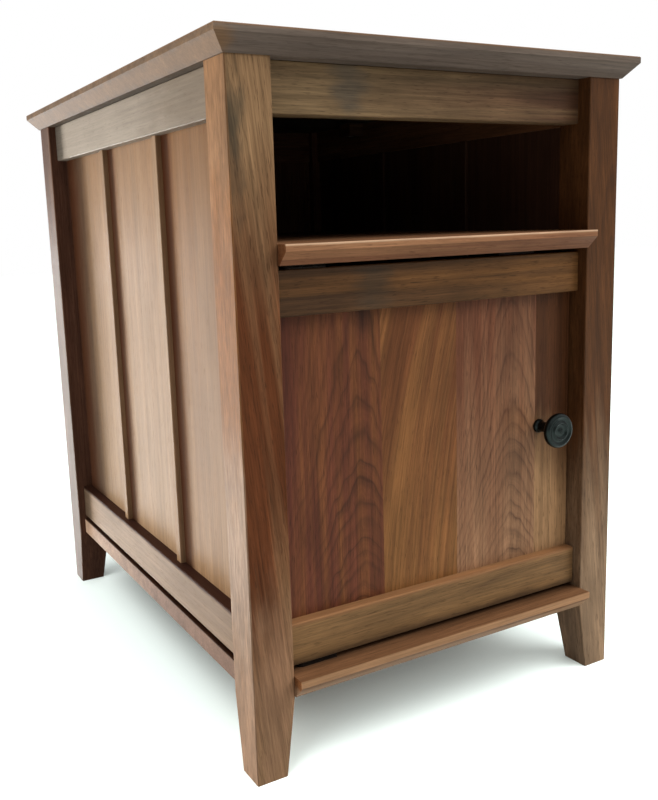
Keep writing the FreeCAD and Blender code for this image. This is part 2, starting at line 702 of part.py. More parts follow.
# Door: four upright boards glued edge to edge, tongued into a thicker rail at each end.
joints = ("door_left", "second_joint", "third_joint", "fourth_joint", "door_right")
TONGUE = ("door_panel_middle - door_tongue_thickness / 2", "door_panel_middle + door_tongue_thickness / 2")
boards = []
for number, board_name in enumerate(("first", "second", "third", "fourth")):
    xs = (joints[number], joints[number + 1])
    face = box(f"door_{board_name}_face", xs, ("door_panel_front", "door_panel_back"),
               ("door_panel_low", "door_panel_high"))
    tongue = box(f"door_{board_name}_tongue", xs, TONGUE,
                 ("door_panel_low - door_tongue_length", "door_panel_high + door_tongue_length"))
    boards.append(fuse(f"door_{board_name}_blank", [face, tongue]))
for blank, board_name in zip(boards[:2], ("first", "second")):
    sub_part(f"door_{board_name}_board", blank)
for blank, board_name in zip(boards[2:], ("third", "fourth")):
    sub_part(f"door_{board_name}_board", cut(f"door_{board_name}_cut", blank, [knob_screw]))

door_rails = {"top": ("door_panel_high", "door_high"), "bottom": ("door_low", "door_panel_low")}
for end_name, zs in door_rails.items():
    bar = box(f"door_{end_name}_bar", ("door_left", "door_right"), ("door_front", "door_back"), zs)
    blank = eased(f"door_{end_name}_blank", bar, runs_along("x"))
    entering = boards + door_sinks[end_name] + (strike_cores if end_name == "top" else [])
    sub_part(f"door_{end_name}_rail", cut(f"door_{end_name}_cut", blank, entering))
doc.recompute()

# Every object has to be sound before anything is written.
for item in doc.Objects:
    if {"Invalid", "Error"} & set(item.State):
        raise RuntimeError(f"{item.Name} failed: {item.State}")
for piece in sub_parts:
    if piece.Shape.isNull() or not piece.Shape.isValid():
        raise RuntimeError(f"{piece.Label} has no sound shape")

os.makedirs("parts", exist_ok=True)
for piece in sub_parts:
    piece.Shape.exportStep(f"parts/{piece.Label}.step")
    print(f"{piece.Label:28s} solids {len(piece.Shape.Solids)}  volume {piece.Shape.Volume:.0f}")
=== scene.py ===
import math

import bpy
import numpy as np
from mathutils import Matrix, Vector


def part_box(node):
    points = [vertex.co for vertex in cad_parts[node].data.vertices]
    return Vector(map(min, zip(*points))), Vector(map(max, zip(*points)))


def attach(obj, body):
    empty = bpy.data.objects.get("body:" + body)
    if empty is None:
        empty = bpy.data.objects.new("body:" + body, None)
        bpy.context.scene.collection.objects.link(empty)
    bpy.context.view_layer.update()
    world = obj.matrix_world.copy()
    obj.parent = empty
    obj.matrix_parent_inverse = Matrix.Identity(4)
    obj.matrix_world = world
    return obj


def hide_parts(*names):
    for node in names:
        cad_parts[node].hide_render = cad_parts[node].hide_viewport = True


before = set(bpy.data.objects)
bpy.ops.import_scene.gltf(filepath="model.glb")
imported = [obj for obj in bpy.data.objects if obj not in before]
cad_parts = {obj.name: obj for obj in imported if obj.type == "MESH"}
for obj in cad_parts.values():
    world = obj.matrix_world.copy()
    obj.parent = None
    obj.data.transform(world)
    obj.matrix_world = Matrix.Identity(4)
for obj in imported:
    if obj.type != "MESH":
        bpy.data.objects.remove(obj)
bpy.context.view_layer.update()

# Legs
# Four square posts of solid walnut, sawn with the grain upright and tapered at the foot on their two
# inner faces, then oiled to a satin sheen. The rails are tenoned into them.
MM = 1000.0


class Nodes:
    """Adds nodes to a tree and joins them up, value by value."""

    def __init__(self, tree):
        self.tree = tree

    def add(self, kind, inputs=(), output=0, **settings):
        node = self.tree.nodes.new(kind)
        for name, value in settings.items():
            setattr(node, name, value)
        pairs = inputs.items() if isinstance(inputs, dict) else enumerate(inputs)
        for key, value in pairs:
            if isinstance(value, bpy.types.NodeSocket):
                self.tree.links.new(value, node.inputs[key])
            elif value is not None:
                node.inputs[key].default_value = value
        return node.outputs[output] if node.outputs else None

    def math(self, operation, first, second=None, third=None):
        return self.add("ShaderNodeMath", (first, second, third), operation=operation)

    def vector(self, operation, first, second=None):
        return self.add("ShaderNodeVectorMath", (first, second), operation=operation)

    def scale(self, vector, share):
        return self.add("ShaderNodeVectorMath", {0: vector, "Scale": share}, operation="SCALE")

    def total(self, *values):
        sum_so_far = values[0]
        for value in values[1:]:
            sum_so_far = self.math("ADD", sum_so_far, value)
        return sum_so_far

    def noise(self, place, sizes, detail=2.0, roughness=0.5):
        """Noise between 0 and 1 whose lumps have these sizes in the three directions."""
        spread = self.vector("MULTIPLY", place, tuple(1.0 / size for size in sizes))
        inputs = {"Vector": spread, "Scale": 1.0, "Detail": detail, "Roughness": roughness}
        return self.add("ShaderNodeTexNoise", inputs, output="Fac")

    def swing(self, value, reach):
        """Turn noise about one half into a swing of that reach to either side of nothing."""
        return self.math("MULTIPLY", self.math("MULTIPLY_ADD", value, 2.0, -1.0), reach)

    def vary(self, value, reach):
        """Turn noise about one half into a factor about one."""
        return self.math("MULTIPLY_ADD", value, reach, 1.0 - reach / 2)

    def step(self, value, low, high):
        """Rise smoothly from 0 at low to 1 at high."""
        inputs = {"Value": value, "From Min": low, "From Max": high}
        return self.add("ShaderNodeMapRange", inputs, interpolation_type="SMOOTHSTEP")

    def blend(self, share, first, second):
        inputs = {"Factor": share, 6: first, 7: second}
        return self.add("ShaderNodeMix", inputs, output=2, data_type="RGBA")


def new_group(name, inputs, outputs):
    """A shader node group with these inputs and their usual values, and these outputs and their kinds."""
    tree = bpy.data.node_groups.new(name, "ShaderNodeTree")
    kinds = {None: "NodeSocketVector", 3: "NodeSocketVector", 4: "NodeSocketColor", 1: "NodeSocketFloat"}
    for label, value in inputs.items():
        length = None if value is None else len(value) if isinstance(value, tuple) else 1
        socket = tree.interface.new_socket(label, in_out="INPUT", socket_type=kinds[length])
        if value is not None:
            socket.default_value = value
    for label, kind in outputs.items():
        tree.interface.new_socket(label, in_out="OUTPUT", socket_type=kind)
    return tree, tree.nodes.new("NodeGroupInput").outputs, tree.nodes.new("NodeGroupOutput").inputs


def walnut_figure():
    """Walnut as it is sawn from a log.

    Places are in millimetres from the piece's middle, with X across the face, Y into the board and Z
    along the grain. The grain drifts across by the slant, and bends by the sweep. A ring's number is the
    distance from the pith, plus the lean and the bow along the grain, plus slow and quick noise, over
    the ring's width, and late wood darkens the end of each ring. Fibres, bands and pores are noise drawn
    out along the grain. The tint's share grows with the fade along the grain and the skew across it, each
    per 100 mm, and with the arch towards both ends, per 100 mm squared. Cut ends are darker.
    """
    tree, given, out = new_group("walnut_figure", {
        "Vector": None, "Normal": None, "Seed": 0.0, "Stave": 0.0, "Pith Across": 0.0, "Pith Deep": 40.0,
        "Lean": 0.05, "Bow": 0.0, "Slant": 0.0, "Sweep": 0.0, "Ring": 4.0, "Wander": 8.0, "Ripple": 1.0,
        "Contrast": 0.4, "Share": 0.0, "Streak": 0.6, "Fade": 0.0, "Arch": 0.0, "Skew": 0.0,
        "Mottle": 0.4, "Grain": 1.0,
        "Pale": (0.2, 0.1, 0.05, 1.0), "Tint": (0.16, 0.07, 0.04, 1.0), "Dark": (0.05, 0.02, 0.012, 1.0),
    }, {"Color": "NodeSocketColor", "Shade": "NodeSocketFloat", "Roughness": "NodeSocketFloat",
        "Height": "NodeSocketFloat"})
    g = Nodes(tree)
    place = g.scale(given["Vector"], MM)
    whole = g.add("ShaderNodeSeparateXYZ", (place,)).node.outputs
    along = whole["Z"]
    # Each stave of a glued-up board comes from a log of its own.
    width = g.math("MAXIMUM", given["Stave"], 1.0)
    glued = g.math("GREATER_THAN", given["Stave"], 1.0)
    stave = g.math("MULTIPLY", g.math("FLOOR", g.math("DIVIDE", whole["X"], width)), glued)
    middle = g.math("MULTIPLY", g.math("MULTIPLY", g.math("ADD", stave, 0.5), width), glued)
    log = g.math("MULTIPLY_ADD", stave, 3.37, given["Seed"])
    squared = g.math("MULTIPLY", g.math("MULTIPLY", along, along), 0.001)
    drift = g.math("MULTIPLY_ADD", along, given["Slant"], g.math("MULTIPLY", squared, given["Sweep"]))
    across = g.math("ADD", g.math("SUBTRACT", whole["X"], middle), drift)
    shift = g.vector("MULTIPLY", g.add("ShaderNodeCombineXYZ", (log, log, log)), (137.0, 71.0, 911.0))
    spot = g.vector("ADD", g.add("ShaderNodeCombineXYZ", (across, whole["Y"], along)), shift)
    # Rings about the pith.
    slow = g.swing(g.noise(spot, (60, 60, 320)), given["Wander"])
    quick = g.swing(g.noise(spot, (15, 15, 36), 1.0), given["Ripple"])
    side = g.math("SUBTRACT", across, given["Pith Across"])
    deep = g.math("SUBTRACT", whole["Y"], given["Pith Deep"])
    radius = g.math("SQRT", g.math("MULTIPLY_ADD", side, side, g.math("MULTIPLY", deep, deep)))
    rise = g.math("MULTIPLY_ADD", along, given["Lean"], g.math("MULTIPLY", squared, given["Bow"]))
    years = g.math("DIVIDE", g.total(radius, rise, slow, quick), given["Ring"])
    uneven = g.noise(g.add("ShaderNodeCombineXYZ", (years, log, 0.0)), (3.2, 1.0, 1.0))
    age = g.math("MULTIPLY_ADD", uneven, 2.4, years)
    ramp = g.add("ShaderNodeValToRGB", (g.math("FRACT", age),)).node
    ramp.color_ramp.interpolation = "EASE"
    stops = ((0.0, 0.25), (0.16, 0.0), (0.42, 0.12), (0.68, 0.55), (0.84, 1.0), (1.0, 0.25))
    while len(ramp.color_ramp.elements) < len(stops):
        ramp.color_ramp.elements.new(0.5)
    for element, (at, grey) in zip(ramp.color_ramp.elements, stops):
        element.position = at
        element.color = (grey, grey, grey, 1.0)
    patchy = g.step(g.noise(spot, (30, 30, 200)), 0.3, 0.7)
    late = g.math("MULTIPLY", g.add("ShaderNodeRGBToBW", (ramp.outputs[0],)),
                  g.math("MULTIPLY_ADD", patchy, 0.65, 0.35))
    flat = g.math("POWER", g.math("DIVIDE", deep, radius), 2.0)
    weight = g.step(g.noise(g.add("ShaderNodeCombineXYZ", (age, log, 7.0)), (1.7, 1.0, 1.0)), 0.3, 0.68)
    late = g.math("MULTIPLY", late, g.math("MULTIPLY_ADD", flat, 0.6, 0.4))
    late = g.math("MULTIPLY", late, g.math("MULTIPLY_ADD", weight, 0.9, 0.2))
    fine = g.math("PINGPONG", g.math("MULTIPLY", age, 3.7), 0.5)
    # Colour streaks, then late wood, then fibres, bands and pores.
    fibre = g.noise(spot, (1.2, 1.2, 34), 3.0, 0.65)
    band = g.noise(spot, (2.4, 2.4, 210))
    broad = g.noise(spot, (10, 10, 380))
    mottle = g.noise(spot, (28, 28, 95))
    pore = g.step(g.noise(spot, (0.8, 0.8, 12), 1.0), 0.6, 0.72)
    streak = g.step(g.noise(spot, (15, 15, 460), 3.0), 0.36, 0.64)
    fade = g.math("MULTIPLY", g.math("MULTIPLY", along, 0.01), given["Fade"])
    arch = g.math("MULTIPLY", g.math("MULTIPLY", squared, 0.1), given["Arch"])
    skew = g.math("MULTIPLY", g.math("MULTIPLY", across, 0.01), given["Skew"])
    share = g.total(given["Share"], g.math("MULTIPLY", streak, given["Streak"]), fade, arch, skew)
    color = g.blend(share, given["Pale"], given["Tint"])
    color = g.blend(g.math("MULTIPLY", late, given["Contrast"]), color, given["Dark"])
    shade = g.math("MULTIPLY", g.vary(fibre, 1.1), g.vary(band, 0.9))
    cloudy = g.math("ADD", g.swing(mottle, given["Mottle"]), 1.0)
    shade = g.math("MULTIPLY", shade, g.math("MULTIPLY", g.vary(broad, 0.7), cloudy))
    shade = g.math("MULTIPLY", shade, g.math("MULTIPLY_ADD", fine, 0.14, 0.96))
    shade = g.math("MULTIPLY_ADD", g.math("SUBTRACT", shade, 1.0), given["Grain"], 1.0)
    facing = g.math("ABSOLUTE", g.add("ShaderNodeSeparateXYZ", (given["Normal"],), output="Z"))
    end = g.step(facing, 0.55, 0.9)
    cut = g.vector("MULTIPLY", color, g.blend(end, (1.0, 1.0, 1.0, 1.0), (0.95, 0.8, 0.66, 1.0)))
    sunk = g.math("MULTIPLY", g.math("MULTIPLY", pore, given["Grain"]), 0.5)
    color = g.blend(sunk, g.scale(cut, shade), given["Dark"])
    dull = g.math("MULTIPLY", g.math("MAXIMUM", pore, end), 0.15)
    rough = g.math("ADD", dull, g.math("MULTIPLY_ADD", fibre, 0.14, 0.38))
    height = g.math("MULTIPLY_ADD", fibre, 0.35, g.math("MULTIPLY", pore, -1.0))
    for label, value in (("Color", color), ("Shade", shade), ("Roughness", rough), ("Height", height)):
        tree.links.new(value, out[label])
    return tree


def toned_patch():
    """Smoke or other tone in the wood, or painted light, sheen and shade.

    The tone's share falls smoothly from the middle of a ragged ellipsoid, in millimetres from the piece's
    middle, to nothing at its rim.
    """
    tree, given, out = new_group("toned_patch", {
        "Vector": None, "Color": (0.1, 0.06, 0.04, 1.0), "Shade": 1.0, "At": (0.0, 0.0, 0.0),
        "Size": (20.0, 60.0, 20.0), "Share": 0.6, "Ragged": 0.9, "Tone": (0.05, 0.045, 0.04, 1.0),
    }, {"Color": "NodeSocketColor"})
    g = Nodes(tree)
    place = g.scale(given["Vector"], MM)
    away = g.vector("DIVIDE", g.vector("SUBTRACT", place, given["At"]), given["Size"])
    far = g.add("ShaderNodeVectorMath", (away,), output="Value", operation="LENGTH")
    far = g.math("ADD", far, g.swing(g.noise(place, (12, 12, 40), 3.0), given["Ragged"]))
    share = g.math("MULTIPLY", g.math("SUBTRACT", 1.0, g.step(far, 0.2, 1.1)), given["Share"])
    tree.links.new(g.blend(share, given["Color"], g.scale(given["Tone"], given["Shade"])), out["Color"])
    return tree


FIGURE = walnut_figure()
PATCH = toned_patch()

# How a piece lies: what its face's width, its depth and its grain are in the table's axes.
UPRIGHT_FACING_FRONT = ((1, 0, 0), (0, 1, 0), (0, 0, 1))
UPRIGHT_FACING_SIDE = ((0, 1, 0), (-1, 0, 0), (0, 0, 1))


def srgb(red, green, blue):
    """A colour as a screen shows it, from 0 to 255, turned to light."""
    shown = np.array((red, green, blue)) / 255
    light = np.where(shown <= 0.04045, shown / 12.92, ((shown + 0.055) / 1.055) ** 2.4)
    return (*(float(value) for value in light), 1.0)


def patch(at, size, share, tone, ragged=0.9):
    """A toned patch: its middle and half sizes along width, depth and grain in millimetres, and its tone.

    A half size far beyond the piece's own takes the whole piece in that way, and a small one at a face
    tones that face alone.
    """
    return {"at": at, "size": size, "share": share, "ragged": ragged, "tone": srgb(*tone)}


def dress(name, material):
    """Give a CAD node one material all over."""
    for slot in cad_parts[name].material_slots:
        slot.material = material


def walnut(name, lie, patches=(), sheen=0.08, **values):
    """A walnut finish for one piece, with its figure turned to its grain and measured from its middle.

    The values are inputs of the figure, and the patches lie over it in their order.
    """
    low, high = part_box(name)
    turn = Matrix(lie)
    centre = turn @ ((low + high) / 2)
    material = bpy.data.materials.new(f"walnut_{name}")
    material.use_nodes = True
    material.node_tree.nodes.clear()
    m = Nodes(material.node_tree)
    coords = m.add("ShaderNodeTexCoord").node.outputs
    angles = tuple(turn.to_euler())
    from_middle = {"Vector": coords["Object"], "Location": tuple(-centre), "Rotation": angles}
    place = m.add("ShaderNodeMapping", from_middle)
    turned_normal = {"Vector": coords["Normal"], "Rotation": angles}
    facing = m.add("ShaderNodeMapping", turned_normal, vector_type="VECTOR")
    figure = m.add("ShaderNodeGroup", node_tree=FIGURE).node
    m.tree.links.new(place, figure.inputs["Vector"])
    m.tree.links.new(facing, figure.inputs["Normal"])
    for key, value in values.items():
        figure.inputs[key.replace("_", " ").title()].default_value = value
    color = figure.outputs["Color"]
    for spot in patches:
        toned = m.add("ShaderNodeGroup", node_tree=PATCH).node
        m.tree.links.new(place, toned.inputs["Vector"])
        m.tree.links.new(color, toned.inputs["Color"])
        m.tree.links.new(figure.outputs["Shade"], toned.inputs["Shade"])
        for key, value in spot.items():
            toned.inputs[key.title()].default_value = value
        color = toned.outputs["Color"]
    relief = {"Strength": 0.25, "Distance": 0.0002, "Height": figure.outputs["Height"]}
    bump = m.add("ShaderNodeBump", relief)
    shader = m.add("ShaderNodeBsdfPrincipled", {
        "Base Color": color, "Roughness": figure.outputs["Roughness"], "Normal": bump,
        "Specular IOR Level": sheen})
    m.add("ShaderNodeOutputMaterial", {"Surface": shader})
    dress(name, material)


smoky_head = patch((-17, 0, 252), (17, 60, 72), 0.8, (58, 54, 44))
# Painted light from the floor makes the front face paler at the foot.
painted_floor_light_foot = patch((8, -20, -235), (60, 60, 120), 0.6, (136, 104, 80), ragged=0.6)
# Painted light on the left face: pale sheen all over, less in a band above the middle, floor light below it.
painted_sheen_side = patch((-20, 0, 0), (1.5, 2000, 5000), 0.9, (133, 98, 68), ragged=0.3)
less_painted_sheen_band = patch((-20, 0, 90), (1.5, 200, 150), 0.9, (122, 79, 42), ragged=0.5)
painted_floor_light_side_foot = patch((-20, 0, -250), (1.5, 200, 150), 0.7, (140, 112, 90), ragged=0.5)
painted_floor_light_side_middle = patch((-20, 0, -110), (1.5, 200, 130), 0.85, (150, 124, 102), ragged=0.5)
walnut("front_left_leg", UPRIGHT_FACING_FRONT, seed=2.0, pith_across=-90.0, pith_deep=60.0, lean=0.1,
       ring=9.0, slant=0.1, wander=16.0, ripple=2.0, contrast=0.4, share=0.9, streak=0.3, fade=0.08,
       arch=-0.16, skew=-0.9, mottle=0.45, sheen=0.035,
       pale=srgb(128, 100, 71), tint=srgb(84, 47, 26), dark=srgb(46, 29, 18),
       patches=[smoky_head, painted_floor_light_foot, painted_sheen_side, less_painted_sheen_band, painted_floor_light_side_foot, painted_floor_light_side_middle])
walnut("front_right_leg", UPRIGHT_FACING_FRONT, seed=3.0, pith_across=60.0, pith_deep=60.0, lean=0.1,
       ring=9.0, slant=0.1, wander=18.0, ripple=2.0, contrast=0.4, share=0.95, streak=0.4, fade=0.6,
       mottle=0.5, pale=srgb(132, 107, 82), tint=srgb(78, 48, 25), dark=srgb(40, 25, 16))
# A pale painted sheen on the back left leg's outer face.
painted_sheen_outer_face = patch((0, 20, -60), (2000, 1.5, 420), 0.9, (92, 71, 55), ragged=0.4)
walnut("back_left_leg", UPRIGHT_FACING_SIDE, seed=4.0, pith_across=60.0, pith_deep=50.0, sheen=0.04,
       pale=srgb(88, 60, 46), tint=srgb(72, 48, 37), dark=srgb(40, 26, 20), patches=[painted_sheen_outer_face])
DARK_HEART = {"pale": srgb(104, 70, 50), "tint": srgb(84, 52, 38), "dark": srgb(44, 26, 20)}
walnut("back_right_leg", UPRIGHT_FACING_SIDE, seed=5.0, pith_across=60.0, pith_deep=50.0, **DARK_HEART)

# Side rails
# Walnut boards on edge from the front leg to the back one, tenoned at both ends and grooved for the
# panels. On the left, the paler, greyer wood with fainter grain is painted sheen of the window's light,
# with less of it towards the top rail's front end. The low rails carry painted shade on their upper ledges.
DEEP_FACING_SIDE = ((0, 0, 1), (1, 0, 0), (0, 1, 0))
PAINTED_SHEEN_RAIL = {"pale": srgb(149, 137, 122), "tint": srgb(132, 120, 106), "dark": srgb(72, 58, 48),
              "sheen": 0.05}
PAINTED_SHEEN_LEDGE = {"pale": srgb(136, 111, 87), "tint": srgb(110, 89, 70), "dark": srgb(66, 46, 34),
               "sheen": 0.035}
BROWN_HEART = {"pale": srgb(122, 87, 58), "tint": srgb(102, 68, 44), "dark": srgb(56, 36, 25)}
# Less painted sheen towards the top rail's front end.
less_painted_sheen_front_end = patch((0, 0, -257), (2000, 2000, 240), 0.65, (98, 83, 66), ragged=0.3)
# Painted shade on the low rails' upper ledges.
ledge_painted_shade = patch((21, 0, 0), (5, 200, 2000), 0.95, (50, 25, 18), ragged=0.4)
walnut("left_top_rail", DEEP_FACING_SIDE, seed=9.0, pith_across=90.0, pith_deep=30.0, lean=0.01,
       contrast=0.2, streak=0.5, grain=0.4, **PAINTED_SHEEN_RAIL, patches=[less_painted_sheen_front_end])
walnut("left_low_rail", DEEP_FACING_SIDE, seed=11.0, pith_across=70.0, pith_deep=-40.0, lean=0.01,
       contrast=0.25, share=0.2, streak=0.4, fade=-0.14, grain=0.4, **PAINTED_SHEEN_LEDGE, patches=[ledge_painted_shade])
walnut("right_top_rail", DEEP_FACING_SIDE, seed=10.0, pith_across=90.0, pith_deep=30.0, lean=0.01,
       **BROWN_HEART)
walnut("right_low_rail", DEEP_FACING_SIDE, seed=12.0, pith_across=70.0, pith_deep=-40.0, lean=0.01,
       **BROWN_HEART, patches=[ledge_painted_shade])

# Side panels and muntins
# Three thin walnut panels on each side, upright in the grain and loose in the rails' grooves, with a narrow
# muntin over each of the two joins. On the left, the paler wood with fainter grain is painted sheen, and a
# ruddy painted shadow lies along each panel's back edge. All inner faces carry painted shade, and on both
# sides the panels' tint grows upwards, painted light from the floor that leaves them paler towards the foot.
PAINTED_SHEEN_HEART = {"pale": srgb(140, 112, 84), "tint": srgb(118, 84, 53), "dark": srgb(72, 48, 34),
               "sheen": 0.05}
INNER_SHADE_TONE = (64, 44, 34)
PAINTED_SHADOW_TONE = (92, 47, 29)
PANEL_BACK_EDGE = 82
# Each side's wood, its panels' grain, the way its inner faces lie in depth, and its first seeds.
SIDES = (("left", PAINTED_SHEEN_HEART, 0.5, -1, 14.0, 50.0), ("right", BROWN_HEART, 0.8, 1, 19.0, 53.0))
# Each bay's share of the tint, and how far the painted shadow along its back edge reaches.
BAYS = (("front", 0.55, 34), ("middle", 0.1, 34), ("back", 0.1, 80))
for side, heart, panel_grain, inner, panel_seed, muntin_seed in SIDES:
    # Painted shade on the panel's inner face.
    inner_painted_shade = patch((0, inner * 3.5, 0), (5000, 4, 5000), 0.85, INNER_SHADE_TONE, ragged=0.2)
    for number, (bay, share, reach) in enumerate(BAYS):
        patches = [inner_painted_shade]
        if side == "left":
            # Painted shadow along the back edge, cast by the muntin behind it and, in the back bay, by the
            # back leg.
            painted_shadow_edge = patch((PANEL_BACK_EDGE, 0, 0), (reach, 2000, 5000), 0.8, PAINTED_SHADOW_TONE, ragged=0.2)
            patches.insert(0, painted_shadow_edge)
        walnut(f"{side}_{bay}_panel", UPRIGHT_FACING_SIDE, seed=panel_seed + number, pith_across=120.0,
               pith_deep=30.0, lean=0.02, ring=3.4, wander=10.0, contrast=0.3, share=share, streak=0.2,
               fade=0.14, grain=panel_grain, **heart, patches=patches)
    # Painted shade on the muntin's inner face.
    inner_painted_shade = patch((0, inner * 7.75, 0), (5000, 8, 5000), 0.85, INNER_SHADE_TONE, ragged=0.2)
    for number, end in enumerate(("front", "back")):
        walnut(f"{side}_{end}_muntin", UPRIGHT_FACING_SIDE, seed=muntin_seed + number, pith_across=90.0,
               contrast=0.3, grain=0.5, **heart, patches=[inner_painted_shade])

# Front and back rails, and the back panel
# The front rail stands over the cubby, set back from the legs. Two more rails hold one wide glued-up
# panel across the back.
ACROSS_FACING_FRONT = ((0, 0, 1), (0, 1, 0), (-1, 0, 0))
smoky_knot = patch((4, 0, 92), (40, 60, 22), 0.6, (66, 64, 58))
walnut("front_rail", ACROSS_FACING_FRONT, seed=6.0, pith_across=30.0, pith_deep=50.0, lean=0.03, ring=5.0,
       wander=10.0, contrast=0.4, streak=0.5, fade=-0.35, mottle=0.6,
       pale=srgb(114, 93, 66), tint=srgb(72, 48, 33), dark=srgb(40, 28, 20), patches=[smoky_knot])
walnut("back_top_rail", ACROSS_FACING_FRONT, seed=7.0, pith_across=-20.0, pith_deep=-50.0, **DARK_HEART)
walnut("back_low_rail", ACROSS_FACING_FRONT, seed=8.0, pith_across=20.0, pith_deep=-50.0, **DARK_HEART)
walnut("back_panel", UPRIGHT_FACING_FRONT, seed=60.0, stave=118.5, pith_deep=-40.0, lean=0.1, ring=4.0,
       ripple=1.6, **DARK_HEART)

# Shelf and bottom board
# Glued-up walnut boards with the grain across, notched round the legs. Their bevelled front edges
# stand out past the legs. A painted highlight runs along the shelf's top front arris. The bottom board's
# nosing and bevel are paler with painted light from the floor, its left edge carries a greyer painted
# sheen, paler towards the back, and painted shade lies on its top before the door and under the left
# low rail.
ACROSS_FACING_UP = ((0, 1, 0), (0, 0, 1), (1, 0, 0))
# A painted highlight on the shelf's top front arris.
painted_arris_highlight = patch((-283.25, 8.75, 0), (2, 2, 900), 0.8, (206, 172, 140), ragged=0.3)
walnut("shelf", ACROSS_FACING_UP, seed=61.0, stave=142.0, pith_across=10.0, pith_deep=-50.0, lean=0.02,
       grain=0.8, pale=srgb(138, 99, 69), tint=srgb(106, 65, 45), dark=srgb(58, 33, 24),
       patches=[painted_arris_highlight])
# Painted shade on the board's top before the door.
painted_shade_at_door = patch((-264, 9.5, 0), (16, 5, 5000), 0.8, (44, 28, 18), ragged=0.2)
# Painted light from the floor on the nosing and the bevel under it.
painted_floor_light_nosing = patch((-295, 0, 0), (1.5, 60, 5000), 0.9, (154, 118, 86), ragged=0.3)
painted_floor_light_bevel = patch((-287, -6, 0), (12, 9, 5000), 0.9, (154, 124, 96), ragged=0.3)
# A greyer painted sheen on the left edge, paler towards the back.
painted_sheen_left_edge = patch((0, 0, -206), (5000, 2000, 2), 0.9, (114, 91, 77), ragged=0.3)
painted_sheen_to_the_back = patch((295, 0, -206), (330, 2000, 2), 0.85, (158, 130, 107), ragged=0.3)
# Painted shade on the board's top under the left low rail.
painted_shade_under_rail = patch((0, 9.5, -200), (5000, 1.5, 12), 0.95, (50, 26, 18), ragged=0.3)
walnut("bottom_board", ACROSS_FACING_UP, seed=62.0, stave=148.0, pith_across=-10.0, pith_deep=-60.0,
       lean=0.02, grain=0.8, sheen=0.03,
       pale=srgb(116, 82, 56), tint=srgb(102, 70, 46), dark=srgb(56, 36, 24),
       patches=[painted_shade_at_door, painted_floor_light_nosing, painted_floor_light_bevel, painted_sheen_left_edge, painted_sheen_to_the_back,
                painted_shade_under_rail])

# Cleats
# Strips of plain pale wood inside the low rails, screwed down into the bottom board.
PLAIN = {"pale": srgb(178, 140, 98), "tint": srgb(160, 122, 84), "dark": srgb(112, 82, 56)}
walnut("bottom_left_cleat", DEEP_FACING_SIDE, seed=63.0, pith_across=60.0, **PLAIN)
walnut("bottom_right_cleat", DEEP_FACING_SIDE, seed=64.0, pith_across=60.0, **PLAIN)
walnut("bottom_back_cleat", ACROSS_FACING_FRONT, seed=65.0, pith_across=60.0, **PLAIN)

# Top and its buttons
# A glued-up walnut slab with the grain across, so its side edges are end grain. A narrow upright band
# stands over a wide bevel. Wooden buttons hold it to the rails and let it move.
brown_left_edge = patch((0, -3, -222), (5000, 12, 16), 0.9, (116, 90, 65), ragged=0.5)
# Painted shade darkens the top's underside.
painted_shade_underside = patch((0, -9.75, 0), (380, 2, 280), 0.9, (34, 26, 22), ragged=0.2)
brown_upper_face = patch((0, 9.75, 0), (5000, 2, 5000), 0.7, (120, 86, 58), ragged=0.2)
walnut("top", ACROSS_FACING_UP, seed=1.0, stave=122.2, pith_across=12.0, pith_deep=-50.0, lean=0.03,
       ring=4.5, contrast=0.4, grain=0.6, sheen=0.03,
       pale=srgb(106, 95, 85), tint=srgb(89, 77, 67), dark=srgb(50, 41, 35),
       patches=[brown_left_edge, painted_shade_underside, brown_upper_face])
walnut("top_buttons", ACROSS_FACING_UP, seed=66.0, pith_across=60.0,
       pale=srgb(84, 60, 43), tint=srgb(72, 50, 36), dark=srgb(44, 30, 22))

# Door boards
# Four upright boards glued edge to edge, each from its own log: the first ruddy with arched figure on its
# right, the second honey coloured and slanting, the third arched again, the last a plain narrow strip.
walnut("door_first_board", UPRIGHT_FACING_FRONT, seed=70.0, pith_across=27.5, pith_deep=38.0, lean=0.24,
       bow=-0.62, ring=5.5, wander=9.0, ripple=3.4, contrast=0.85, streak=0.9, skew=-0.3,
       pale=srgb(108, 66, 38), tint=srgb(84, 45, 32), dark=srgb(44, 25, 17))
# The second, third and fourth boards darken towards the top: painted shade under the door's top rail.
walnut("door_second_board", UPRIGHT_FACING_FRONT, seed=71.0, pith_across=150.0, pith_deep=40.0, lean=0.0,
       slant=-0.18, sweep=-0.35, ring=10.0, wander=12.0, ripple=1.2, contrast=0.45, share=0.25, streak=0.6,
       fade=0.25, mottle=0.5, pale=srgb(121, 82, 46), tint=srgb(95, 57, 32), dark=srgb(51, 31, 18))
walnut("door_third_board", UPRIGHT_FACING_FRONT, seed=72.0, pith_across=21.8, pith_deep=32.0, lean=0.25,
       bow=-0.65, ring=5.2, wander=9.0, ripple=3.4, contrast=0.85, share=0.35, streak=0.35, fade=0.33,
       skew=-0.25, pale=srgb(133, 99, 72), tint=srgb(96, 58, 39), dark=srgb(52, 31, 22))
# The fourth board also darkens towards the leg beside it: painted shadow of the leg.
walnut("door_fourth_board", UPRIGHT_FACING_FRONT, seed=73.0, pith_across=-120.0, pith_deep=26.0, lean=0.03,
       ring=6.0, wander=8.0, contrast=0.4, share=0.7, streak=0.3, fade=1.2, skew=1.0,
       pale=srgb(146, 112, 78), tint=srgb(70, 41, 22), dark=srgb(42, 25, 16))

